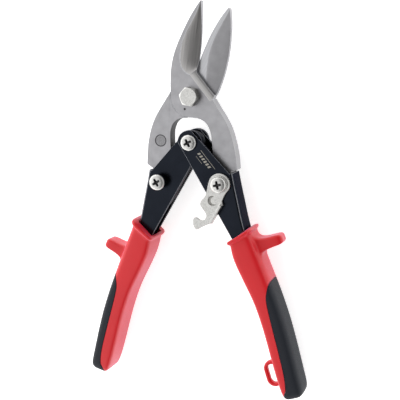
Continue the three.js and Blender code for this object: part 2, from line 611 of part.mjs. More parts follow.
addPart('right_grip', gripMoulding(RIGHT_GRIP, [hangLoop()]), RED_GRIP);
addPart('right_grip_pad', gripPad(RIGHT_GRIP), GREY_PAD);
addPart('left_grip', turnedOver(gripMoulding(LEFT_GRIP)), RED_GRIP);
addPart('left_grip_pad', turnedOver(gripPad(LEFT_GRIP)), GREY_PAD);

export default parts;
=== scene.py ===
# Aviation snips: the looks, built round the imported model.
# Shapes are drawn in millimetres, with heights measured from the shear plane where the blades
# meet. Each piece goes to metres and to the model's frame when it is finished.
import json
import math

import bmesh
import bpy
from mathutils import Matrix, Vector
from mathutils.geometry import tessellate_polygon


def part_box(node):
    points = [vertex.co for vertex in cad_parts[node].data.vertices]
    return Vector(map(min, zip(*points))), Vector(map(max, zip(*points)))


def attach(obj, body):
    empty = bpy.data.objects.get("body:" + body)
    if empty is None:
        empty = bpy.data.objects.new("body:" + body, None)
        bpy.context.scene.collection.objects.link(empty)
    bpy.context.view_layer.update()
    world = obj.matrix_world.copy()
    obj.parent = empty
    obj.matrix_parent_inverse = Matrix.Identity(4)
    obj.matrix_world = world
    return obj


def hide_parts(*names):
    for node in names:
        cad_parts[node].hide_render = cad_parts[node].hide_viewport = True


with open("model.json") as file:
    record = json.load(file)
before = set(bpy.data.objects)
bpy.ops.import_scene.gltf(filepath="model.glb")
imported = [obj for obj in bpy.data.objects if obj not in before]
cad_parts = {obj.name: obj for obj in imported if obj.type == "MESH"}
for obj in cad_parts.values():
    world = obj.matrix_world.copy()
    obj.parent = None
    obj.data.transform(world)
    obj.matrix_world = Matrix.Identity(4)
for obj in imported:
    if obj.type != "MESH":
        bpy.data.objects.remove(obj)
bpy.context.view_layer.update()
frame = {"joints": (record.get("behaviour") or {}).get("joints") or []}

# ---- Places and sizes that come from the frame ----
MM = 0.001
joint_places = {joint["name"]: Vector(joint["pos_m"]) / MM for joint in frame["joints"]}
SHEAR_HEIGHT = joint_places["blade_pivot"].z
TO_FRAME = Matrix.Scale(MM, 4) @ Matrix.Translation((0, 0, SHEAR_HEIGHT))
TURNED_OVER = Matrix.Rotation(math.pi, 4, "Y")


def extent(node):
    """The lowest and highest corner of a CAD node."""
    return [corner / MM - Vector((0, 0, SHEAR_HEIGHT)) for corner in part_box(node)]


def heights(node):
    low, high = extent(node)
    return low.z, high.z


def plan_centre(node):
    low, high = extent(node)
    return ((low + high) / 2).xy


RIGHT_PIVOT = joint_places["right_handle_pivot"].xy
LEFT_PIVOT = joint_places["left_handle_pivot"].xy
CENTRE_PIVOT = plan_centre("centre_screw")
BLADE_TOP = heights("upper_blade")[1]
INNER_PLATE_LOW, OUTER_PLATE_TOP = heights("right_handle")
SHEAR_GAP = 0.15
GAP = 0.3
SHEET = 2.0
SCREW_HOLE_RADIUS = 2.9


# ---- Materials ----
NOISE_SPREAD = (0.3, 0.7)


def set_range(node, *numbers):
    """Sets what a range node maps from and what it maps to."""
    for name, number in zip(("From Min", "From Max", "To Min", "To Max"), numbers):
        node.inputs[name].default_value = number


class Finish:
    """A procedural material: a Principled shader and the nodes that feed it."""

    def __init__(self, name, color, roughness, metallic=0.0, ior=1.5, **sockets):
        self.material = bpy.data.materials.new(name)
        self.material.use_nodes = True
        self.nodes = self.material.node_tree.nodes
        self.links = self.material.node_tree.links
        self.shader = self.nodes["Principled BSDF"]
        self.color = color
        self.place = self.add("ShaderNodeTexCoord").outputs["Object"]
        self.set("Base Color", (*color, 1))
        self.set("Roughness", roughness)
        self.set("Metallic", metallic)
        self.set("IOR", ior)
        for socket, value in sockets.items():
            self.set(socket.replace("_", " "), value)

    def set(self, socket, value):
        self.shader.inputs[socket].default_value = value

    def add(self, kind, **settings):
        node = self.nodes.new(kind)
        for name, value in settings.items():
            setattr(node, name, value)
        return node

    def noise(self, size, stretch=(1, 1, 1), turn=0.0, detail=3.0, kind="NOISE"):
        """Noise whose features are about size millimetres across, before they are stretched."""
        mapping = self.add("ShaderNodeMapping", vector_type="TEXTURE")
        mapping.inputs["Scale"].default_value = stretch
        mapping.inputs["Rotation"].default_value = (0, 0, math.radians(turn))
        self.links.new(self.place, mapping.inputs["Vector"])
        if kind == "CELLS":
            texture = self.add("ShaderNodeTexVoronoi")
            result = texture.outputs["Color"]
        else:
            texture = self.add("ShaderNodeTexNoise")
            texture.inputs["Detail"].default_value = detail
            result = texture.outputs["Fac"]
        texture.inputs["Scale"].default_value = 1 / (size * MM)
        self.links.new(mapping.outputs["Vector"], texture.inputs["Vector"])
        return result

    def vary(self, socket, factor, low, high):
        """Drives a number or a colour between two values by a 0 to 1 factor.

        Noise seldom leaves the middle of its range, so a number takes its limits at NOISE_SPREAD."""
        if isinstance(low, tuple):
            mix = self.add("ShaderNodeMix", data_type="RGBA")
            mix.inputs[6].default_value = (*low, 1)
            mix.inputs[7].default_value = (*high, 1)
            self.links.new(factor, mix.inputs[0])
            self.links.new(mix.outputs[2], self.shader.inputs[socket])
        else:
            spread = self.add("ShaderNodeMapRange")
            set_range(spread, *NOISE_SPREAD, low, high)
            self.links.new(factor, spread.inputs["Value"])
            self.links.new(spread.outputs["Result"], self.shader.inputs[socket])

    def tone(self, factor, change):
        """Lightens and darkens the base colour by a share of itself."""
        self.vary("Base Color", factor, tuple(c * (1 - change) for c in self.color),
                  tuple(c * (1 + change) for c in self.color))

    def bump(self, height, depth):
        """Raises the surface by a height map, depth millimetres from low to high."""
        node = self.add("ShaderNodeBump")
        node.inputs["Distance"].default_value = depth * MM
        self.links.new(height, node.inputs["Height"])
        self.links.new(node.outputs["Normal"], self.shader.inputs["Normal"])


def noisy(name, color, roughness, metallic=0.0, *, tone, rough=None, bump=None, **sockets):
    """A finish that varies with noise, whose sizes are in millimetres.

    tone is a size, a detail and a change; rough a size, a low and a high; bump a size, a detail
    and a depth. The other arguments go to the shader."""
    finish = Finish(name, color, roughness, metallic, **sockets)
    size, detail, change = tone
    finish.tone(finish.noise(size, detail=detail), change)
    if rough:
        size, low, high = rough
        finish.vary("Roughness", finish.noise(size), low, high)
    if bump:
        size, detail, depth = bump
        finish.bump(finish.noise(size, detail=detail), depth)
    return finish.material


def ground_steel(name, color, turn):
    """Steel with fine grinding lines, turned by an angle from the X axis."""
    finish = Finish(name, color, 0.3, 1.0)
    lines = finish.noise(0.8, stretch=(1, 40, 40), turn=turn, detail=4)
    finish.tone(lines, 0.35)
    finish.vary("Roughness", lines, 0.26, 0.36)
    finish.bump(lines, 0.01)
    return finish.material


def zinc_plate():
    """Bright plating with the mottle of its crystals."""
    finish = Finish("zinc_plate", (0.54, 0.536, 0.52), 0.3, 1.0)
    finish.tone(finish.noise(0.9, kind="CELLS"), 0.13)
    finish.vary("Roughness", finish.noise(0.8), 0.24, 0.38)
    finish.bump(finish.noise(0.7, detail=4), 0.07)
    return finish.material


FORGED = noisy("forged_steel", (0.355, 0.352, 0.366), 0.38, 1.0,
               tone=(6, 8, 0.22), rough=(1.2, 0.33, 0.44), bump=(0.5, 4, 0.045))
HOLLOW_GROUND = ground_steel("hollow_ground_steel", (0.435, 0.425, 0.42), -8)
# Ground steel for rounded edges and the lower jaw's band; as a strip beside the upper jaw's ridge it is a
# painted highlight.
EDGE_GROUND_AND_HIGHLIGHT = ground_steel("edge_ground_steel_and_painted_highlight", (0.45, 0.452, 0.47), -28)
# The ground slopes beside the pivot; their tone, lighter than the other ground steel, is a painted
# highlight.
SHOULDER_GROUND_AND_HIGHLIGHT = ground_steel("shoulder_ground_steel_and_painted_highlight", (0.485, 0.476, 0.47), 39)
ZINC = zinc_plate()
BLACK = noisy("black_steel", (0.0145, 0.017, 0.023), 0.24, 1.0, Specular_Tint=(0.45, 0.45, 0.47, 1),
              tone=(14, 4, 0.3), rough=(2.5, 0.2, 0.28), bump=(0.5, 3, 0.012))
# The rubbed edges of the black sheet, where steel shows through, made bright as a painted highlight along
# them; on the folds it is only a painted highlight.
WORN_AND_HIGHLIGHT = noisy("worn_edge_and_painted_highlight", (0.22, 0.225, 0.245), 0.3, 0.9, tone=(1.5, 4, 0.5), rough=(1, 0.25, 0.45))
# Painted shade in the bottoms of the punch mark and the driver recesses.
RECESS_SHADE = noisy("painted_recess_shade", (0.075, 0.074, 0.075), 0.5, 0.8, tone=(0.6, 3, 0.3))
# The sunk face inside the stamped ring, which the grinding has missed.
STAMPED_FACE = noisy("stamped_face", (0.255, 0.253, 0.262), 0.42, 1.0, tone=(0.9, 4, 0.45))
# Painted shade: a dark finish for the stamped ring's groove and the shaded upright walls of the lower
# blade.
GROOVE_AND_WALL_SHADE = noisy("painted_groove_and_wall_shade", (0.10, 0.10, 0.105), 0.5, 0.9, tone=(2, 4, 0.35), bump=(0.8, 3, 0.04))
# Darker zinc as painted shade, on the sides of the bolt's head and of nuts and in the latch's dimple.
SHADED_ZINC = noisy("painted_shade_zinc", (0.27, 0.265, 0.25), 0.4, 1.0, tone=(1.1, 4, 0.6))
SPRING = noisy("spring_steel", (0.06, 0.062, 0.07), 0.28, 0.95, tone=(2, 3, 0.3), bump=(0.3, 3, 0.01))
RED = noisy("red_grip", (0.60, 0.004, 0.009), 0.36, ior=1.48,
            Sheen_Weight=0.45, Sheen_Roughness=0.35, Sheen_Tint=(0.95, 0.55, 0.9, 1),
            tone=(16, 2, 0.07), rough=(1.1, 0.32, 0.42), bump=(0.45, 2, 0.02))
GREY = noisy("grey_pad", (0.0125, 0.0148, 0.021), 0.55, ior=1.3,
             tone=(0.8, 3, 0.2), rough=(0.6, 0.48, 0.64), bump=(0.5, 2, 0.05))
MARK = noisy("printed_mark", (0.30, 0.28, 0.24), 0.5, tone=(0.8, 3, 0.15))
# A white table that glows faintly, which softens the shadows.
TABLE = noisy("pale_floor", (0.93, 0.93, 0.93), 0.9, tone=(400, 3, 0.01),
              Emission_Color=(1, 1, 1, 1), Emission_Strength=0.65)


# ---- Plan outlines: lists of (x, y) ----
def polar(centre, radius, degrees):
    angle = math.radians(degrees)
    return (centre[0] + radius * math.cos(angle), centre[1] + radius * math.sin(angle))


def arc(centre, radius, start, end, steps):
    return [polar(centre, radius, start + (end - start) * i / steps) for i in range(steps + 1)]


def circle(centre, radius, steps=64):
    return arc(centre, radius, 0, 360, steps)[:-1]


def spline_at(points, position):
    """A point of the uniform Catmull-Rom spline through points.

    The position runs from 0 at the first point to their count less one at the last."""
    last = len(points) - 1
    i = min(int(position), last - 1)
    t = position - i
    before, start, end, after = (Vector(points[k]) for k in (max(i - 1, 0), i, i + 1, min(i + 2, last)))
    leave, arrive = (end - before) / 2, (after - start) / 2
    return ((2 * start - 2 * end + leave + arrive) * t ** 3
            + (3 * end - 3 * start - 2 * leave - arrive) * t ** 2 + leave * t + start)


def smooth(points, steps):
    return [tuple(spline_at(points, (len(points) - 1) * k / steps)) for k in range(steps + 1)]


def offset(points, distance):
    """Moves an open outline sideways: a positive distance is to the left of its direction."""
    moved = []
    for i, (x, y) in enumerate(points):
        along = Vector(points[min(i + 1, len(points) - 1)]) - Vector(points[max(i - 1, 0)])
        along.normalize()
        moved.append((x - distance * along.y, y + distance * along.x))
    return moved


# ---- Solids: Blender objects in millimetres ----
FLAT_ANGLE = 0.002


def placed(name, data):
    obj = bpy.data.objects.new(name, data)
    bpy.context.scene.collection.objects.link(obj)
    return obj


def new_object(name, bm, *finishes):
    bmesh.ops.recalc_face_normals(bm, faces=bm.faces)
    mesh = bpy.data.meshes.new(name)
    bm.to_mesh(mesh)
    bm.free()
    for finish in finishes:
        mesh.materials.append(finish)
    return placed(name, mesh)


def add_wall(bm, here, there):
    """Faces between two rings of corners. A ring may be a single corner, where the wall closes."""
    count = max(len(here), len(there))
    faces = []
    for i in range(count):
        j = (i + 1) % count
        corners = [here[i % len(here)], here[j % len(here)], there[j % len(there)], there[i % len(there)]]
        faces.append(bm.faces.new(list(dict.fromkeys(corners))))
    return faces


def in_turn(rows, closed):
    """The pairs of neighbouring rows, and the last with the first if they close on each other."""
    return list(zip(rows, rows[1:])) + ([(rows[-1], rows[0])] if closed else [])


def prism(outline, bottom, top, finish=FORGED):
    bm = bmesh.new()
    low, high = ([bm.verts.new((x, y, height)) for x, y in outline] for height in (bottom, top))
    add_wall(bm, low, high)
    bm.faces.new(low)
    bm.faces.new(high)
    return new_object("prism", bm, finish)


def disc(centre, radius, bottom, top, finish=FORGED):
    return prism(circle(centre, radius), bottom, top, finish)


def loft(rings, finish=FORGED):
    """Skins a row of rings of points and closes both ends."""
    bm = bmesh.new()
    rows = [[bm.verts.new(point) for point in ring] for ring in rings]
    for here, there in zip(rows, rows[1:]):
        add_wall(bm, here, there)
    bm.faces.new(rows[0])
    bm.faces.new(rows[-1])
    return new_object("loft", bm, finish)


def turned(centre, profile, closed=False, steps=72, finish=ZINC):
    """Turns (radius, height) pairs round a vertical line.

    A profile that isn't closed starts and ends on that line."""
    bm = bmesh.new()
    rows = []
    for radius, height in profile:
        around = (polar(centre, radius, 360 * i / steps) for i in range(steps if radius else 1))
        rows.append([bm.verts.new((*place, height)) for place in around])
    for here, there in in_turn(rows, closed):
        add_wall(bm, here, there)
    return new_object("turned", bm, finish)


def final_mesh(obj):
    return bpy.data.meshes.new_from_object(obj.evaluated_get(bpy.context.evaluated_depsgraph_get()))


def apply_modifiers(obj):
    """Makes the modified shape the object's own mesh."""
    mesh = final_mesh(obj)
    obj.modifiers.clear()
    old, obj.data = obj.data, mesh
    bpy.data.meshes.remove(old)


def combine(base, tool, operation):
    modifier = base.modifiers.new(operation, "BOOLEAN")
    modifier.operation = operation
    modifier.object = tool
    modifier.solver = "EXACT"
    modifier.material_mode = "TRANSFER"
    apply_modifiers(base)
    bpy.data.objects.remove(tool)
    return base


def cut(base, *tools):
    for tool in tools:
        combine(base, tool, "DIFFERENCE")
    return base


def join(base, *tools):
    for tool in tools:
        combine(base, tool, "UNION")
    return base


def hole(centre, radius, finish=FORGED):
    """A cutter for a hole through everything."""
    return disc(centre, radius, -30, 30, finish)


def clean(obj):
    """Merges what booleans leave behind: doubled corners and edges across flat faces."""
    bm = bmesh.new()
    bm.from_mesh(obj.data)
    bmesh.ops.remove_doubles(bm, verts=bm.verts, dist=0.02)
    bmesh.ops.dissolve_limit(bm, angle_limit=FLAT_ANGLE, verts=bm.verts, edges=bm.edges,
                             delimit={"MATERIAL"})
    bm.to_mesh(obj.data)
    bm.free()


def slot_of(obj, finish):
    """The number of the object's material slot that holds finish, which is added where it is missing."""
    if finish.name not in obj.data.materials:
        obj.data.materials.append(finish)
    return obj.data.materials.find(finish.name)


def soften(obj, width, angle=38, segments=3, finish=None):
    """Rounds the edges that are sharper than angle. With a finish, the rounding is made of it."""
    clean(obj)
    modifier = obj.modifiers.new("rounding", "BEVEL")
    modifier.width = width
    modifier.segments = segments
    modifier.limit_method = "ANGLE"
    modifier.angle_limit = math.radians(angle)
    modifier.use_clamp_overlap = False
    if finish:
        modifier.material = slot_of(obj, finish)
    apply_modifiers(obj)
    return obj


def piece(obj, name, body, slot, *nodes, shading_angle=42, over=False):
    """Finishes a piece: shading, place in the frame, body and the CAD nodes that it stands for.
    Its slot argument is not used.
    """
    obj.name = name
    obj.data.name = name
    if over:
        obj.data.transform(TURNED_OVER)
    obj.data.transform(TO_FRAME)
    obj.data.shade_smooth()
    obj.data.set_sharp_from_angle(angle=math.radians(shading_angle))
    weighting = obj.modifiers.new("weighted_normals", "WEIGHTED_NORMAL")
    weighting.keep_sharp = True
    apply_modifiers(obj)
    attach(obj, body)
    if nodes:
        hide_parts(*nodes)
    return obj


# ---- Blades ----
BOSS_RADIUS = 13.7
BOSS_CLEARANCE_RADIUS = 13.74
ARM_EYE_RADIUS = 7.2
BOLT_HOLE_RADIUS = 3.5
BLADE_ROUNDING = 0.14
RIDGE_STEPS = 72

UPPER_JAW_EDGE = smooth([
    (3.4, 15.1), (5.1, 24.4), (6.1, 31.3), (6.9, 40.7), (7.2, 50.1), (7.3, 58.9)], 30)
UPPER_JAW_BACK = smooth([
    (7.0, 59.3), (3.3, 54.4), (-1.5, 47), (-5.7, 38.9), (-9.2, 31.5), (-11.7, 24.5), (-13.2, 16.8),
    (-13.7, 8)], 42)
UPPER_ARM_INSIDE = smooth([
    (-5.1, -12.7), (-1.6, -13.2), (4.6, -13.9), (8, -15.3), (10.6, -17.8), (12.6, -22), (13.6, -28),
    (14, -36), (13.3, -54.3)], 48)
UPPER_ARM_OUTSIDE = smooth([
    (30.1, -45.9), (29.7, -40), (28.9, -34.5), (27.2, -27), (24.9, -20), (21.7, -13.7), (17.9, -7.9),
    (14.2, -1.9)], 36)
LOWER_JAW_EDGE = smooth([
    (23.6, 54.6), (18.6, 48.7), (12.2, 38.6), (7.2, 28.5), (3.1, 18.5), (2.1, 15.4)], 36)
LOWER_JAW_BACK = smooth([
    (14.1, -0.6), (16.1, 2.9), (19, 10), (21.2, 17), (23.2, 25.9), (24.3, 34.6), (24.9, 45.1),
    (24.4, 53.6)], 42)
LOWER_ARM_INSIDE = smooth([
    (-13.3, -54.3), (-14, -36), (-14.2, -24.5), (-13.4, -20), (-11.7, -16.7), (-8.5, -14.3),
    (-4.6, -13.6), (1.6, -13.2), (5.1, -12.7)], 48)
LOWER_ARM_OUTSIDE = smooth([
    (-13.9, 2.6), (-17.3, -2.4), (-20.9, -7.8), (-24.5, -13.8), (-27.2, -20.4), (-29.1, -28.1),
    (-30, -35.4), (-30.5, -43.8)], 36)
ARM_SHOULDER = (26.1, -46.7)
UPPER_SHOULDER_LINE = ((15.2, 0.4), (3.4, 15.1))
LOWER_SHOULDER_LINE = ((2.1, 15.4), (-13.9, 2.6))
SHOULDER_SLOPE_WIDTH = 4.2
SHOULDER_FALL = 1.3

# Where the ground face of each jaw starts, from the tip downwards, and where it runs out.
UPPER_RIDGE = smooth([
    (6.9, 60.5), (4.6, 53.5), (0.9, 46.6), (-3, 40), (-5.6, 34.2), (-6.9, 28.3), (-7.3, 22.3),
    (-6.2, 18), (-3.3, 14.6), (0.4, 13), (3.6, 12.6)], RIDGE_STEPS)
UPPER_FOOT = smooth([
    (9, 60.5), (7.3, 54.5), (7.2, 48.5), (6.9, 42), (6.5, 36), (5.9, 30), (5.2, 25),
    (4.7, 21.5), (4.4, 19), (4.2, 17.6), (4.5, 16.6)], RIDGE_STEPS)
LOWER_RIDGE = smooth([
    (24.6, 54.5), (23.5, 51.7), (19.4, 44.8), (15.6, 38.3), (12.6, 32), (10.7, 26.1), (9.6, 20.2),
    (8.9, 14.3), (8.9, 8), (9.4, 1)], RIDGE_STEPS)
LOWER_FOOT = smooth([
    (26.2, 53.8), (26.2, 50), (25.8, 43), (25.3, 36.5), (24.8, 30.5), (24, 25), (22.8, 18.5),
    (21, 12), (18.5, 5), (16.5, -1)], RIDGE_STEPS)
SCOOP_REACH = 1.25
SCOOP_STEPS = 13
# The width of the painted highlight strip beside the upper jaw's ridge.
RIDGE_HIGHLIGHT_WIDTH = 0.6

PUNCH_PLACE = (-4.2, -8.0)
PUNCH_RADIUS = 0.85
STAMP_PLACE = (-20.9, -28.4)
STAMP_RADIUS = 3.6
CUT_HEIGHT = BLADE_TOP + 0.1


def arm_eye(pivot):
    return arc(pivot, ARM_EYE_RADIUS, 190, 350, 28)


def forging(plan, thin_region, side, pivot):
    """A blade before grinding: on one side of the shear plane but for its arm, which is on both."""
    other_side = (-BLADE_TOP - 1, SHEAR_GAP) if side > 0 else (-SHEAR_GAP, BLADE_TOP + 1)
    return cut(prism(plan, -BLADE_TOP, BLADE_TOP), prism(thin_region, *other_side),
               disc((0, 0), BOSS_CLEARANCE_RADIUS, *other_side), hole((0, 0), BOLT_HOLE_RADIUS),
               hole(pivot, SCREW_HOLE_RADIUS))


def shoulder_slope(start, end, side):
    """A wedge that takes the slope off a blade's face beside the pivot."""
    along = Vector(end) - Vector(start)
    along.normalize()
    inward = Vector((-along.y, along.x))
    foot, top = BLADE_TOP - SHOULDER_FALL, BLADE_TOP + 1
    run = SHOULDER_SLOPE_WIDTH * (top - foot) / SHOULDER_FALL
    section = [(-1, foot), (0, foot), (run, top), (-1, top)]
    rings = [[(*(at + inward * out), side * high) for out, high in section]
             for at in (Vector(start) - along, Vector(end) + along)]
    # The slope is ground steel, lighter as a painted highlight.
    return loft(rings, SHOULDER_GROUND_AND_HIGHLIGHT)


def scoop(ridge, foot, level, slope, growth, finish, strip=0.0):
    """A cutter for a face that falls away from a curved ridge line to a line of foot points.

    It leaves the ridge with the given slope, which has grown by growth when it reaches the foot,
    and goes on past the foot. A strip of the given width beside the ridge gets the edge ground
    finish, a painted highlight along the ridge."""
    rings = []
    for (x, y), (foot_x, foot_y) in zip(ridge, foot):
        width = math.hypot(foot_x - x, foot_y - y)
        shares = [SCOOP_REACH * i / SCOOP_STEPS for i in range(SCOOP_STEPS + 1)]
        if strip:
            first = min(strip / width, 0.3)
            shares = [first + (SCOOP_REACH - first) * i / (SCOOP_STEPS - 1) for i in range(SCOOP_STEPS)]
            shares.insert(0, 0)
        ring = [(x + (foot_x - x) * share, y + (foot_y - y) * share,
                 level - width * (slope * share + growth * share ** 2 / 2)) for share in shares]
        rings.append([*ring, (*ring[-1][:2], level + 3), (x, y, level + 3)])
    shape = loft(rings, finish)
    if strip:
        # The strip beside the ridge is a painted highlight in the edge ground finish.
        shape.data.materials.append(EDGE_GROUND_AND_HIGHLIGHT)
        for face in shape.data.polygons:
            face.material_index = int(face.index % len(rings[0]) == 0)
    return shape


def punch_dot():
    """The inspector's punch mark: a small cone sunk in the face."""
    profile = [(0, BLADE_TOP - 0.8), (PUNCH_RADIUS, CUT_HEIGHT), (0, CUT_HEIGHT)]
    # The cone is darkened as painted shade.
    return turned(PUNCH_PLACE, profile, steps=24, finish=RECESS_SHADE)


def stamped_disc():
    """The slightly sunk face inside the stamped ring."""
    depth = BLADE_TOP - 0.06
    profile = [(0, depth), (STAMP_RADIUS, depth), (STAMP_RADIUS, CUT_HEIGHT), (0, CUT_HEIGHT)]
    return turned(STAMP_PLACE, profile, finish=STAMPED_FACE)


def stamped_ring():
    """A plain stamped ring, as a groove with sloping sides."""
    depth = BLADE_TOP - 0.25
    profile = [(STAMP_RADIUS - 0.4, CUT_HEIGHT), (STAMP_RADIUS - 0.15, depth),
               (STAMP_RADIUS + 0.15, depth), (STAMP_RADIUS + 0.4, CUT_HEIGHT)]
    # The groove is darkened as painted shade.
    return turned(STAMP_PLACE, profile, closed=True, finish=GROOVE_AND_WALL_SHADE)


def shade_walls(shape, chosen):
    """Paints shade, as the dark finish, on the upright walls that chosen picks by their centre and
    normal.
    """
    shade_slot = slot_of(shape, GROOVE_AND_WALL_SHADE)
    for face in shape.data.polygons:
        if abs(face.normal.z) < 0.3 and chosen(face.center, face.normal):
            face.material_index = shade_slot


def upper_blade():
    plan = [*UPPER_JAW_EDGE, *UPPER_JAW_BACK, *arc((0, 0), BOSS_RADIUS, 180, 246, 24), *UPPER_ARM_INSIDE,
            *arm_eye(RIGHT_PIVOT), ARM_SHOULDER, *UPPER_ARM_OUTSIDE, UPPER_SHOULDER_LINE[0]]
    thin_region = [(-30, -4), (0, -4), (30, 0.4), (30, 80), (-30, 80)]
    shape = forging(plan, thin_region, 1, RIGHT_PIVOT)
    hollow = scoop(UPPER_RIDGE, UPPER_FOOT, BLADE_TOP, 0.05, 0.36, HOLLOW_GROUND, RIDGE_HIGHLIGHT_WIDTH)
    cut(shape, shoulder_slope(*UPPER_SHOULDER_LINE, 1), hollow)
    soften(shape, BLADE_ROUNDING, finish=EDGE_GROUND_AND_HIGHLIGHT)
    cut(shape, punch_dot())
    return piece(shape, "upper_blade_forging", "upper_blade", "forged_steel", "upper_blade")


def lower_blade():
    plan = [*LOWER_JAW_BACK, *LOWER_JAW_EDGE, *LOWER_ARM_OUTSIDE, (-ARM_SHOULDER[0], ARM_SHOULDER[1]),
            *arm_eye(LEFT_PIVOT), *LOWER_ARM_INSIDE, *arc((0, 0), BOSS_RADIUS, -66, -6, 24)]
    thin_region = [(-BOSS_CLEARANCE_RADIUS, 80), (-BOSS_CLEARANCE_RADIUS, 0), (0, -4), (5.1, -12.7),
                   (30, -12.7), (30, 80)]
    shape = forging(plan, thin_region, -1, LEFT_PIVOT)
    band = prism([*LOWER_RIDGE, (2, 1), (-4, 14), (-4, 40), (20, 70)], -SHEAR_GAP - 0.01, 3, EDGE_GROUND_AND_HIGHLIGHT)
    body_face = scoop(LOWER_RIDGE, LOWER_FOOT, -SHEAR_GAP, 0.08, 0.06, FORGED)
    cut(shape, shoulder_slope(*LOWER_SHOULDER_LINE, -1), band, body_face)
    soften(shape, BLADE_ROUNDING, finish=EDGE_GROUND_AND_HIGHLIGHT)
    # Painted shade on the inner side of the left arm.
    shade_walls(shape, lambda centre, normal: normal.x > 0.3 and centre.y < -13.5 and centre.x < 0)
    cut(shape, stamped_disc(), stamped_ring())
    return piece(shape, "lower_blade_forging", "lower_blade", "forged_steel", "lower_blade")


# ---- Blade pivot ----
BOLT_RADIUS = 3.2
HEX_ACROSS_CORNERS = 12.8
HEAD_TURN = -10
HEX_CHAMFER = 0.45
HEX_FLAT_SHARE = 0.82
HEX_CORNER_SHARE = 0.98
HEX_CHAMFER_START = 0.95
HEX_SHADING = 22
NUT_TURN = 12


def hexagonal(centre, across_corners, profile, turn=0.0, closed=False, steps=120):
    """Like turned(), for hexagons: rows of radius, height and chamfer.

    A radius of None stands for the hexagon's sides, with their corners eased."""
    bm = bmesh.new()
    apothem = across_corners / 2 * math.cos(math.radians(30))
    rows = []
    for radius, height, chamfer in profile:
        row = []
        for i in range(1 if radius == 0 else steps):
            angle = 360 * i / steps
            reach, lift = radius, 0
            if radius is None:
                folded = math.radians((angle - turn) % 60 - 30)
                reach = min(apothem / math.cos(folded), across_corners / 2 * HEX_CORNER_SHARE)
                lift = chamfer * (reach - apothem * HEX_CHAMFER_START)
            row.append(bm.verts.new((*polar(centre, reach, angle), height + lift)))
        rows.append((row, radius))
    # The hexagon's sides get the darker zinc, which is painted shade.
    for (here, start), (there, end) in in_turn(rows, closed):
        for face in add_wall(bm, here, there):
            face.material_index = int(start is None and end is None)
    return new_object("hexagonal", bm, ZINC, SHADED_ZINC)


def pivot_bolt():
    low, top = heights("pivot_bolt")
    base = BLADE_TOP + GAP
    flat = HEX_ACROSS_CORNERS / 2 * HEX_FLAT_SHARE
    shape = hexagonal((0, 0), HEX_ACROSS_CORNERS, [
        (0, low, 0), (BOLT_RADIUS - 0.4, low, 0), (BOLT_RADIUS, low + 0.4, 0),
        (BOLT_RADIUS, base - 0.25, 0), (5.5, base - 0.25, 0), (5.6, base - 0.15, 0), (5.6, base, 0),
        (None, base, 0), (None, top, -HEX_CHAMFER), (flat, top, 0), (0, top, 0)], HEAD_TURN)
    return piece(shape, "pivot_bolt_hex", "lower_blade", "zinc_plate", "pivot_bolt",
                 shading_angle=HEX_SHADING)


def plain_washer(node, centre, body, hole_radius=SCREW_HOLE_RADIUS, slot="zinc_plate", finish=ZINC):
    """A washer, spacer or bush with rounded rims, of its CAD node's size."""
    low, high = extent(node)
    radius = (high.x - low.x) / 2
    ease = min(0.2, (high.z - low.z) / 5)
    inner, outer, bottom, top = hole_radius + ease, radius - ease, low.z + ease, high.z - ease
    section = []
    for x, z, start in ((inner, bottom, 180), (outer, bottom, 270), (outer, top, 0), (inner, top, 90)):
        section += arc((x, z), ease, start, start + 90, 3)
    shape = turned(centre, section, closed=True, finish=finish)
    return piece(shape, node + "_turned", body, slot, node)


def hex_nut(node, centre, across_corners, hole_radius, body):
    low, top = heights(node)
    flat = across_corners / 2 * HEX_FLAT_SHARE
    shape = hexagonal(centre, across_corners, [
        (hole_radius, low + 0.5, 0), (hole_radius + 0.5, low, 0), (flat, low, 0),
        (None, low, HEX_CHAMFER), (None, top, -HEX_CHAMFER), (flat, top, 0),
        (hole_radius + 0.5, top, 0), (hole_radius, top - 0.5, 0)], NUT_TURN, closed=True)
    return piece(shape, node + "_hex", body, "zinc_plate", node, shading_angle=HEX_SHADING)


# ---- Screws ----
SCREW_RADIUS = 2.6
SCREW_HEAD_RADIUS = 5.1
SCREW_HEAD_HEIGHT = 2.7
SCREW_RIM_HEIGHT = 1.0
DOME_STEPS = 9
SCREW_NUT_ACROSS_CORNERS = 9.2
SCREW_ROUNDING = 0.08
# The driver's cross, downwards: its reach, half an arm's width and the height from the head's top.
CROSS_LAYERS = [(2.95, 0.95, 0.4), (2.5, 0.72, -0.6), (1.1, 0.45, -2.1)]


def cross_recess(centre, top, turn):
    """A tapered cross for the driver."""
    def ring(reach, half_width, height):
        points = []
        for quarter in range(4):
            angle = turn + 90 * quarter
            forward, aside = polar((0, 0), 1, angle), polar((0, 0), 1, angle + 90)
            end = half_width * 0.8
            for along, out in ((half_width, -half_width), (reach, -end), (reach, end)):
                points.append((centre[0] + forward[0] * along + aside[0] * out,
                               centre[1] + forward[1] * along + aside[1] * out, top + height))
        return points

    # The cross is darkened as painted shade.
    return loft([ring(*layer) for layer in CROSS_LAYERS], RECESS_SHADE)


def pan_screw(node, centre, body, turn):
    low, top = heights(node)
    base = top - SCREW_HEAD_HEIGHT
    rim = base + SCREW_RIM_HEIGHT
    dome = [(SCREW_HEAD_RADIUS * math.sin(angle) ** 0.7, rim + (top - rim) * math.cos(angle) ** 0.75)
            for angle in (math.pi / 2 * (1 - i / DOME_STEPS) for i in range(1, DOME_STEPS))]
    shape = turned(centre, [
        (0, low), (SCREW_RADIUS - 0.4, low), (SCREW_RADIUS, low + 0.4), (SCREW_RADIUS, base),
        (SCREW_HEAD_RADIUS - 0.25, base), (SCREW_HEAD_RADIUS, base + 0.25), (SCREW_HEAD_RADIUS, rim),
        *dome, (0, top)])
    cut(shape, cross_recess(centre, top, turn))
    soften(shape, SCREW_ROUNDING, segments=2)
    return piece(shape, node + "_pan", body, "zinc_plate", node, shading_angle=50)


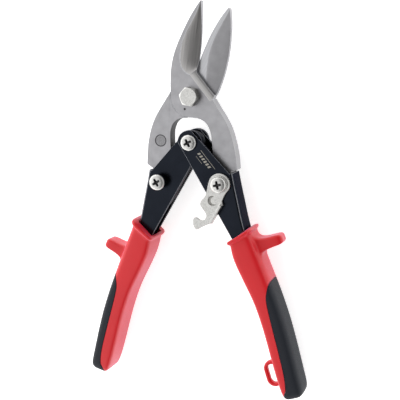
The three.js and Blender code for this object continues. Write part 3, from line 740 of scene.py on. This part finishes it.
# ---- Handles: folded channels ----
LOBE_RADIUS = 7.8
INNER_EDGE_TILT = 31
UPPER_EDGE_TILT = 45
UPPER_EDGE_REACH = 7.1
OUTER_PLATE_RECESS = 1.4
FOLD_RADIUS = 2.2
FOLD_STEPS = 6
OPEN_PIVOT_HOLE_RADIUS = 3.3
# The strips of the folds that carry a painted highlight line in the worn edge finish, counted over the
# web from one plate.
FOLD_HIGHLIGHT_STRIPS = (2, 10)
HANDLE_ROUNDING = 0.22
HANDLE_OUTER_EDGE = smooth([
    (28.7, -47.3), (30.4, -56), (32.6, -66), (35, -77), (38.2, -88), (43.5, -100.5), (48.9, -115),
    (56.2, -134.9), (62.2, -156.5), (64.5, -166.5)], 72)
HANDLE_INNER_EDGE = [(27, -90.3), (37.2, -112.8), (45.7, -129.4), (51.8, -147.4), (56.9, -166)]


def plate_plan(recess):
    """A side plate up to its fold, as an outline that starts round the centre pivot's lobe."""
    inner_normal, upper_normal = 180 + INNER_EDGE_TILT, 90 - UPPER_EDGE_TILT
    slip = math.degrees(math.acos((LOBE_RADIUS - recess) / LOBE_RADIUS))
    upper_slip = math.degrees(math.acos((UPPER_EDGE_REACH - recess / 2) / LOBE_RADIUS))
    lobe = arc(CENTRE_PIVOT, LOBE_RADIUS, inner_normal - slip, upper_normal + upper_slip, 40)
    inner = offset(HANDLE_INNER_EDGE, recess)
    return [*lobe, *offset(HANDLE_OUTER_EDGE, -FOLD_RADIUS), *reversed(inner)]


def handle(name, body, centre_hole, over, node):
    """One folded handle: two plates and the web, as a sheet with its thickness added inwards."""
    bm = bmesh.new()
    for recess, height in ((OUTER_PLATE_RECESS, OUTER_PLATE_TOP), (0, INNER_PLATE_LOW)):
        rings = [plate_plan(recess), circle(CENTRE_PIVOT, centre_hole, 48),
                 circle(RIGHT_PIVOT, SCREW_HOLE_RADIUS, 48)]
        corners = [bm.verts.new((x, y, height)) for ring in rings for x, y in ring]
        for triangle in tessellate_polygon([[Vector((x, y, 0)) for x, y in ring] for ring in rings]):
            bm.faces.new([corners[k] for k in triangle])
    turns = [math.radians(90 * i / FOLD_STEPS) for i in range(FOLD_STEPS + 1)]
    section = [(FOLD_RADIUS * (1 - math.sin(a)), OUTER_PLATE_TOP - FOLD_RADIUS * (1 - math.cos(a)))
               for a in turns]
    section += [(FOLD_RADIUS * (1 - math.cos(a)), INNER_PLATE_LOW + FOLD_RADIUS * (1 - math.sin(a)))
                for a in turns]
    rows = [[bm.verts.new((x, y, height)) for x, y in offset(HANDLE_OUTER_EDGE, -inset)]
            for inset, height in section]
    # One strip in each fold carries a painted highlight line.
    for strip, (here, there) in enumerate(zip(rows, rows[1:])):
        for i in range(len(here) - 1):
            face = bm.faces.new((here[i], here[i + 1], there[i + 1], there[i]))
            face.material_index = int(strip in FOLD_HIGHLIGHT_STRIPS)
    bmesh.ops.remove_doubles(bm, verts=bm.verts, dist=0.001)
    bmesh.ops.dissolve_limit(bm, angle_limit=FLAT_ANGLE, verts=bm.verts, edges=bm.edges)
    shape = new_object(name, bm, BLACK, WORN_AND_HIGHLIGHT)
    thickness = shape.modifiers.new("sheet", "SOLIDIFY")
    thickness.thickness = SHEET
    thickness.offset = -1
    thickness.use_even_offset = True
    apply_modifiers(shape)
    # The rounded edges are worn steel, made bright as a painted highlight.
    soften(shape, HANDLE_ROUNDING, angle=50, segments=2, finish=WORN_AND_HIGHLIGHT)
    return piece(shape, name, body, "black_steel", node, over=over)


# ---- Spring ----
SPRING_WIRE = 1.7
SPRING_COIL_RADIUS = 5.7
SPRING_PITCH = 2.0
SPRING_TURNS_PER_HALF = 1.5
SPRING_STEPS = 16
SPRING_LEG_HEIGHT = 3.75
# The leg's points from the end of the coil: down along the handle, and out across it.
SPRING_LEG = [(12, 0), (28, 0), (44, 0), (47, 1), (52, 7.4), (53.5, 9.2)]


def spring_half(name, body, node, over):
    """Half of the torsion spring: turns round the bush, and a leg that presses on the handle's web."""
    start = 180 + INNER_EDGE_TILT
    coil = [Vector((*polar(CENTRE_PIVOT, SPRING_COIL_RADIUS, start - 360 * i / SPRING_STEPS),
                    SPRING_LEG_HEIGHT - SPRING_PITCH * i / SPRING_STEPS))
            for i in range(int(SPRING_TURNS_PER_HALF * SPRING_STEPS) + 1)][::-1]
    tilt = math.radians(INNER_EDGE_TILT)
    along = Vector((math.sin(tilt), -math.cos(tilt), 0))
    across = Vector((math.cos(tilt), math.sin(tilt), 0))
    leg = [coil[-1] + along * down + across * out for down, out in SPRING_LEG]
    curve = bpy.data.curves.new(name, "CURVE")
    curve.dimensions = "3D"
    curve.bevel_depth = SPRING_WIRE / 2
    curve.bevel_resolution = 5
    curve.resolution_u = 4
    curve.use_fill_caps = True
    curve.materials.append(SPRING)
    spline = curve.splines.new("BEZIER")
    points = [*coil, *leg]
    spline.bezier_points.add(len(points) - 1)
    for knot, point in zip(spline.bezier_points, points):
        knot.co = point
        knot.handle_left_type = knot.handle_right_type = "AUTO"
    wire = placed(name, curve)
    mesh = final_mesh(wire)
    bpy.data.objects.remove(wire)
    shape = placed(name, mesh)
    clean(shape)
    return piece(shape, name, body, "spring_steel", node, over=over, shading_angle=60)


# ---- Latch ----
LATCH_TURN = -30
LATCH_REACH = 23.5
LATCH_EYE_RADIUS = 6.9
LATCH_NOTCH_RADIUS = 3.1
LATCH_THICKNESS = 2.2
LATCH_ROUNDING = 0.28
LATCH_TAB_ENDS = (-23.8, -10.4)


def latch():
    """The pressed hook, drawn hanging straight down from its pivot and then turned to its place."""
    base, top = heights("latch")
    face = base + LATCH_THICKNESS
    shape = prism([
        *arc((0, 0), LATCH_EYE_RADIUS, -20, 195, 44),
        *smooth([(-5.9, -5), (-5.1, -7.2), (-4.2, -11.5), (-4.8, -14.9), (-4.7, -17.1), (-3.7, -18.4),
                 (-0.9, -19.7)], 36),
        *arc((0, -LATCH_REACH), LATCH_NOTCH_RADIUS, 70, -95, 28),
        *smooth([(-2.3, -26.5), (-3.4, -27.4), (-3.4, -29.1), (-1.7, -31.8), (0.7, -33.3), (2.2, -32.9),
                 (4.3, -29.3), (7.4, -25), (8.6, -23.8)], 40),
        (8.6, -10.2), (6.9, -8.4), (6.4, -5),
    ], base, face, ZINC)
    tab = [(6.0, base + 0.6), *arc((6.8, base + 1.8), 1.8, -60, 0, 8), (8.6, top), (7.0, top),
           (7.0, face + 0.4), (6.5, face), (6.0, face)]
    join(shape, loft([[(x, y, height) for x, height in tab] for y in LATCH_TAB_ENDS], ZINC))
    dimple = [*arc((1.6, -11.2), 3.1, 125, 325, 28), *arc((2.6, -10.5), 2.6, 318, 132, 28)]
    # The dimple is cut with the darker zinc, as painted shade.
    cut(shape, hole((0, 0), SCREW_HOLE_RADIUS, ZINC), prism(dimple, face - 0.5, face + 1, SHADED_ZINC))
    soften(shape, LATCH_ROUNDING)
    turn = Matrix.Rotation(math.radians(LATCH_TURN), 4, "Z")
    shape.data.transform(Matrix.Translation((*RIGHT_PIVOT, 0)) @ turn)
    return piece(shape, "latch_hook", "latch", "zinc_plate", "latch")


# ---- Grips ----
# A grip's outline is given along its axis (s, downwards) and across it (t, outwards).
GRIP_TOP = (33, -85.8)
GRIP_TILT = 17.1
INNER_SQUARENESS = 8
OUTER_SQUARENESS = 4.2
RING_POINTS = 24
PAD_THICKNESS = 1.2
PAD_ROUNDING = 0.3
CORE_END = 104
GRIP_WAIST = 64

# Each row is a section of the grip: inner s and t, outer s and t, and half its depth.
BODY_STATIONS = [
    (5.6, -7.9, 0.7, 7.1, 12.2), (14, -8.6, 11, 8.3, 12.2), (27, -6.9, 26, 9.7, 12.1),
    (45, -3.8, 45, 11.2, 12), (64, -3.1, 64, 11.9, 11.9), (84, -3.7, 84, 11.3, 11.7),
    (100, -3.9, 100, 10.5, 11.5), (106, -3.6, 106, 10.3, 11.2),
]
END_STATIONS = [
    (109.2, -3, 109.2, 9.6, 10.4), (110.8, -1.4, 110.8, 7.8, 8.8), (111.1, 0.6, 111.1, 5.6, 6.4),
]
RIM_STATIONS = [
    (2.7, -6.5, -2.5, 5.7, 11.2), (2.7, -8.7, -2.5, 7.9, 13.5), (3.1, -9.25, -2.1, 8.45, 14.2),
    (4.5, -9.25, -0.7, 8.45, 14.2), (5.1, -8.7, -0.1, 7.9, 13.4),
]
LOWER_ROWS = (38, 45, 54, 64, 74, 84, 92, 100, 106)
GRIP_SUBDIVISION = 2
# The horn's layers outwards: share of its length, half its width and half its depth.
HORN_LAYERS = [(0.25, 5.2, 6.9), (0.42, 3.9, 6.6), (0.63, 3.5, 6.5), (0.84, 3.4, 6.3), (0.95, 3.0, 5.8)]
HORN_CAP = (1.0, 1.6, 4.4)
HORN_TIP_RADIUS = 2.9
LOOP_S = 93.5
LOOP_T = -6.9
LOOP_HOLE = (2.9, 6.2)
LOOP_WALL = 2.6
LOOP_HALF_DEPTH = 2.4
LOOP_LIFT = 2.0
LOOP_END_STEPS = 20
LOOP_POINTS = 16
SOFT_SHADING = 50


class GripForm:
    """How one grip differs from the other. Both are drawn as right ones.

    pad_edge is the line where the pad starts, as s and t. lower_share is what is left of the
    length below the waist. rim_lift is how far the rim's outer side is raised. horn_rows are
    the sections that the finger guard needs, and horn_span the first and last that it grows from.
    horn_root, as s and t, and horn_tip, as x and y, are the ends of its middle line."""

    def __init__(self, pad_edge, lower_share, rim_lift, horn_rows, horn_span, horn_root, horn_tip):
        self.pad_edge = pad_edge
        self.lower_share = lower_share
        self.rim_lift = rim_lift
        self.horn_rows = horn_rows
        self.horn_span = horn_span
        self.horn_root = horn_root
        self.horn_tip = horn_tip

    def down(self, s):
        return s if s < GRIP_WAIST else GRIP_WAIST + (s - GRIP_WAIST) * self.lower_share

    def outer_down(self, s):
        return s - self.rim_lift if s < 3 else self.down(s)

    def sections(self, stations):
        return [(self.down(inner_s), inner_t, self.outer_down(outer_s), *rest)
                for inner_s, inner_t, outer_s, *rest in stations]


RIGHT_GRIP = GripForm(
    pad_edge=[(31, 12.5), (35, 9.6), (39, 7.4), (44, 5.4), (51, 4.6), (60, 4.1), (75, 3.4), (92, 2.4),
              (103, 0.6), (107.5, -2), (113, -5)],
    lower_share=1, rim_lift=-0.5,
    horn_rows=(5.4, 9, 13, 17, 20.5, 29), horn_span=(5.4, 20.5),
    horn_root=(11, 4), horn_tip=(56.8, -88.9))
LEFT_GRIP = GripForm(
    pad_edge=[(31, 12.5), (35, 9.6), (39, 7.4), (44, 5.7), (51, 5.2), (60, 5), (75, 4.8), (92, 4.4),
              (103, 3), (107.5, 0.4), (113, -3)],
    lower_share=0.885, rim_lift=1.6,
    horn_rows=(8, 14, 18, 22.5, 27, 31), horn_span=(14, 31),
    horn_root=(22, 4), horn_tip=(58.6, -98.4))


def grip_point(s, t):
    tilt = math.radians(GRIP_TILT)
    return (GRIP_TOP[0] + s * math.sin(tilt) + t * math.cos(tilt),
            GRIP_TOP[1] - s * math.cos(tilt) + t * math.sin(tilt))


def station_at(s):
    """The body's section whose middle is s down the grip, between the given stations."""
    middles = [(row[0] + row[2]) / 2 for row in BODY_STATIONS]
    i = next(k for k in range(len(middles) - 1) if s <= middles[k + 1] or k == len(middles) - 2)
    return tuple(spline_at(BODY_STATIONS, i + (s - middles[i]) / (middles[i + 1] - middles[i])))


def grip_ring(station, inset=0.0):
    """A rounded section across the grip, drawn in by an inset."""
    inner_s, inner_t, outer_s, outer_t, half_depth = station
    inner, outer = Vector(grip_point(inner_s, inner_t)), Vector(grip_point(outer_s, outer_t))
    middle, half = (inner + outer) / 2, (outer - inner) / 2
    shrink = (half.length - inset) / half.length
    ring = []
    for i in range(RING_POINTS):
        angle = (i + 0.5) * 2 * math.pi / RING_POINTS
        cosine, sine = math.cos(angle), math.sin(angle)
        power = 2 / (OUTER_SQUARENESS if cosine > 0 else INNER_SQUARENESS)
        across = middle + half * math.copysign(abs(cosine) ** power, cosine) * shrink
        ring.append((*across, math.copysign(abs(sine) ** power, sine) * (half_depth - inset)))
    return ring


def cage(stations, inset=0.0):
    """A closed lofted cage of quads, as a bmesh, with its rows of corners."""
    bm = bmesh.new()
    rows = [[bm.verts.new(point) for point in grip_ring(station, inset)] for station in stations]
    for here, there in zip(rows, rows[1:]):
        add_wall(bm, here, there)
    for end in (rows[0], rows[-1]):
        half = RING_POINTS // 2
        for i in range(half - 1):
            bm.faces.new((end[i], end[i + 1], end[RING_POINTS - 2 - i], end[RING_POINTS - 1 - i]))
    return bm, rows


def subdivided(bm, finish):
    shape = new_object("cage", bm, finish)
    modifier = shape.modifiers.new("subdivision", "SUBSURF")
    modifier.levels = modifier.render_levels = GRIP_SUBDIVISION
    apply_modifiers(shape)
    return shape


def pull_horn(bm, rows, form):
    """Pulls the finger guard out of the cage's outer side, in layers that leave a filleted root."""
    columns = [RING_POINTS - 2, RING_POINTS - 1, 0, 1]
    first_row, last_row = (len(RIM_STATIONS) + 1 + form.horn_rows.index(s) for s in form.horn_span)
    patch = [[rows[r][k] for k in columns] for r in range(first_row, last_row + 1)]
    last, across = len(patch) - 1, len(columns) - 1
    border = ([(0, k) for k in range(across)] + [(r, across) for r in range(last)]
              + [(last, k) for k in range(across, 0, -1)] + [(r, 0) for r in range(last, 0, -1)])
    inside = set(sum(patch, []))
    bmesh.ops.delete(bm, geom=[f for f in bm.faces if set(f.verts) <= inside], context="FACES_ONLY")
    for row in patch[1:-1]:
        for vert in row[1:-1]:
            bm.verts.remove(vert)
    start, end = Vector((*grip_point(*form.horn_root), 0)), Vector((*form.horn_tip, 0))
    along = (end - start).normalized()
    aside = Vector((-along.y, along.x, 0))
    length = (end - start).length + HORN_TIP_RADIUS
    ring = [patch[r][k] for r, k in border]

    def place(share, half_width, half_depth, row, k):
        return (start + along * length * share + aside * half_width * (1 - 2 * row / last)
                + Vector((0, 0, half_depth * (2 * k / across - 1))))

    for layer in HORN_LAYERS:
        following = [bm.verts.new(place(*layer, *spot)) for spot in border]
        add_wall(bm, ring, following)
        ring = following
    cap = [[bm.verts.new(place(*HORN_CAP, r, k)) for k in range(across + 1)] for r in range(last + 1)]
    add_wall(bm, ring, [cap[r][k] for r, k in border])
    for upper, lower in zip(cap, cap[1:]):
        for k in range(across):
            bm.faces.new((upper[k], upper[k + 1], lower[k + 1], lower[k]))


def hang_loop():
    """A rounded bar swept round a slot that runs lengthwise beside the grip."""
    half_bar = LOOP_WALL / 2
    radius, straight = LOOP_HOLE[0] + half_bar, LOOP_HOLE[1] - LOOP_HOLE[0]
    turn = 270 + GRIP_TILT
    bm = bmesh.new()
    rows = []
    for sign, start in ((1, turn - 90), (-1, turn + 90)):
        middle = grip_point(LOOP_S + sign * straight, LOOP_T)
        for angle in (start + 180 * i / LOOP_END_STEPS for i in range(LOOP_END_STEPS + 1)):
            row = []
            for k in range(LOOP_POINTS):
                place = math.radians(360 * (k + 0.5) / LOOP_POINTS)
                across, lift = math.cos(place), math.sin(place)
                out = radius + half_bar * math.copysign(abs(across) ** 0.6, across)
                height = LOOP_LIFT + LOOP_HALF_DEPTH * math.copysign(abs(lift) ** 0.6, lift)
                row.append(bm.verts.new((*polar(middle, out, angle), height)))
            rows.append(row)
    for here, there in in_turn(rows, closed=True):
        add_wall(bm, here, there)
    return new_object("hang_loop", bm, RED)


def pad_region(form, gap, finish):
    line = smooth([grip_point(form.down(s), t) for s, t in form.pad_edge], 48)
    far_corners = [grip_point(125, -2), grip_point(125, 30), grip_point(34 - gap, 30)]
    return prism([*offset(line, -gap), *far_corners], -20, 20, finish)


def plain_body(form, inset, finish):
    """The grip's outer shape below the horn, drawn in by an inset."""
    rows = [*(station_at(s) for s in (14, 22, *LOWER_ROWS)), *END_STATIONS]
    return subdivided(cage(form.sections(rows), inset)[0], finish)


def core(form, inset, finish):
    """The grip's inside that the pad is moulded onto."""
    rows = [station_at(s) for s in (14, 22, *LOWER_ROWS[:-1], CORE_END - inset - 1, CORE_END - inset)]
    return subdivided(cage(form.sections(rows), inset)[0], finish)


def pad_solid(form, gap, finish):
    """What the pad fills, or with a gap what is taken off the grip to make room for it."""
    shape = combine(plain_body(form, -gap, finish), pad_region(form, gap, finish), "INTERSECT")
    return cut(shape, core(form, PAD_THICKNESS + gap, finish))


def pocket():
    """The room that the handle's tang lies in."""
    inner = offset(HANDLE_INNER_EDGE, -0.2)
    plan = [*offset(HANDLE_OUTER_EDGE, 0.2), grip_point(86, 5), *reversed(inner), (16, -72.9)]
    return prism(plan, INNER_PLATE_LOW - 0.7, OUTER_PLATE_TOP + 0.3, RED)


def grip(name, form, over, extras, body, node):
    rows = [*RIM_STATIONS, *(station_at(s) for s in (3.2, *form.horn_rows, *LOWER_ROWS)), *END_STATIONS]
    bm, corners = cage(form.sections(rows))
    pull_horn(bm, corners, form)
    shape = subdivided(bm, RED)
    join(shape, *extras)
    cut(shape, pad_solid(form, GAP, RED), pocket())
    return piece(shape, name, body, "red_grip", node, over=over, shading_angle=SOFT_SHADING)


def grip_pad(name, form, over, body, node):
    shape = soften(pad_solid(form, 0, GREY), PAD_ROUNDING, angle=50)
    return piece(shape, name, body, "grey_pad", node, over=over, shading_angle=SOFT_SHADING)


# ---- Marks on the right handle ----
def handle_marks():
    """Plain printed bars and a hatch, without any lettering."""
    along = (RIGHT_PIVOT - CENTRE_PIVOT).normalized()
    aside = Vector((-along.y, along.x))

    def bar(start, end, middle, half_width, slant=0.0):
        corners = [(start - slant, middle - half_width), (end - slant, middle - half_width),
                   (end + slant, middle + half_width), (start + slant, middle + half_width)]
        outline = [tuple(CENTRE_PIVOT + along * u + aside * v) for u, v in corners]
        return prism(outline, OUTER_PLATE_TOP - 0.05, OUTER_PLATE_TOP + 0.04, MARK)

    lines = [bar(8.5, 23.5, 3.2, 0.13), bar(9.5, 15.5, -1.6, 0.1)]
    hatch = [bar(9.0 + 2.1 * i, 10.2 + 2.1 * i, 0.9, 0.95, 0.35) for i in range(6)]
    return piece(join(*lines, *hatch), "handle_marks", "right_handle", "zinc_plate")


# ---- The whole tool ----
upper_blade()
lower_blade()
pivot_bolt()
plain_washer("pivot_washer", (0, 0), "lower_blade", BOLT_HOLE_RADIUS)
hex_nut("pivot_nut", (0, 0), HEX_ACROSS_CORNERS, BOLT_HOLE_RADIUS, "lower_blade")

handle("right_handle_channel", "right_handle", SCREW_HOLE_RADIUS, False, "right_handle")
handle("left_handle_channel", "left_handle", OPEN_PIVOT_HOLE_RADIUS, True, "left_handle")
handle_marks()

for side, body, centre, turn in (("centre", "right_handle", CENTRE_PIVOT, 28),
                                 ("right", "right_handle", RIGHT_PIVOT, 12),
                                 ("left", "left_handle", LEFT_PIVOT, 30)):
    pan_screw(side + "_screw", centre, body, turn)
    hex_nut(side + "_nut", centre, SCREW_NUT_ACROSS_CORNERS, SCREW_HOLE_RADIUS, body)
plain_washer("centre_bush", CENTRE_PIVOT, "right_handle", slot="black_steel", finish=BLACK)
plain_washer("latch_washer", RIGHT_PIVOT, "right_handle")
plain_washer("right_spacer", RIGHT_PIVOT, "right_handle")
plain_washer("left_spacer", LEFT_PIVOT, "left_handle")
plain_washer("left_collar", LEFT_PIVOT, "left_handle", slot="black_steel", finish=BLACK)

spring_half("spring_right_wire", "right_handle", "spring_right_half", False)
spring_half("spring_left_wire", "left_handle", "spring_left_half", True)
latch()

grip("right_grip_moulding", RIGHT_GRIP, False, [hang_loop()], "right_handle", "right_grip")
grip("left_grip_moulding", LEFT_GRIP, True, [], "left_handle", "left_grip")
grip_pad("right_grip_overmould", RIGHT_GRIP, False, "right_handle", "right_grip_pad")
grip_pad("left_grip_overmould", LEFT_GRIP, True, "left_handle", "left_grip_pad")


# ---- Floor, light and camera ----
FLOOR_HALF_SIDE = 3
STUDIO_LEVEL = 0.2
STUDIO_LEFT = 1.15
STUDIO_SIDES = 1.4

# The line from the tool to the camera, what is level across the picture, and its small roll.
VIEW_AIM = Vector((0.00388, -0.06674, SHEAR_HEIGHT * MM))
VIEW_SWING, VIEW_LIFT, VIEW_ROLL = (math.radians(a) for a in (18.9, 9.5, -0.54))
VIEW_DISTANCE = 0.595
VIEW_LENS = 83.0


def floor():
    bm = bmesh.new()
    bmesh.ops.create_grid(bm, x_segments=8, y_segments=8, size=FLOOR_HALF_SIDE)
    new_object("floor", bm, TABLE)


def studio():
    """A white studio: brightest from the upper left and all round near the floor, dimmer to the right."""
    world = bpy.data.worlds.new("studio")
    world.use_nodes = True
    nodes, links = world.node_tree.nodes, world.node_tree.links
    direction = nodes.new("ShaderNodeSeparateXYZ")
    links.new(nodes.new("ShaderNodeTexCoord").outputs["Generated"], direction.inputs["Vector"])

    def ramp(axis, start, end, value):
        node = nodes.new("ShaderNodeMapRange")
        node.interpolation_type = "SMOOTHSTEP"
        set_range(node, start, end, 0, value)
        links.new(direction.outputs[axis], node.inputs["Value"])
        return node.outputs["Result"]

    def add(*terms):
        node = nodes.new("ShaderNodeMath")
        for term, socket in zip(terms, node.inputs):
            if isinstance(term, float):
                socket.default_value = term
            else:
                links.new(term, socket)
        return node.outputs["Value"]

    sides = add(ramp("X", 0.25, -0.45, STUDIO_LEFT), ramp("Z", 0.75, 0.15, STUDIO_SIDES))
    strength = add(sides, STUDIO_LEVEL)
    background = nodes["Background"]
    background.inputs["Color"].default_value = (1, 1, 1, 1)
    links.new(strength, background.inputs["Strength"])
    bpy.context.scene.world = world
    bpy.context.scene.view_settings.view_transform = "Standard"


def camera():
    back = Vector((math.sin(VIEW_SWING) * math.cos(VIEW_LIFT), math.sin(VIEW_LIFT),
                   math.cos(VIEW_SWING) * math.cos(VIEW_LIFT)))
    level = Vector((math.cos(VIEW_SWING), 0, -math.sin(VIEW_SWING)))
    upright = back.cross(level)
    cosine, sine = math.cos(VIEW_ROLL), math.sin(VIEW_ROLL)
    right, up = level * cosine + upright * sine, upright * cosine - level * sine
    lens = bpy.data.cameras.new("camera")
    lens.lens = VIEW_LENS
    lens.clip_start = 0.01
    viewer = placed("camera", lens)
    turn = Matrix((right, up, back)).transposed().to_4x4()
    viewer.matrix_world = Matrix.Translation(VIEW_AIM + back * VIEW_DISTANCE) @ turn
    bpy.context.scene.camera = viewer


floor()
studio()
camera()
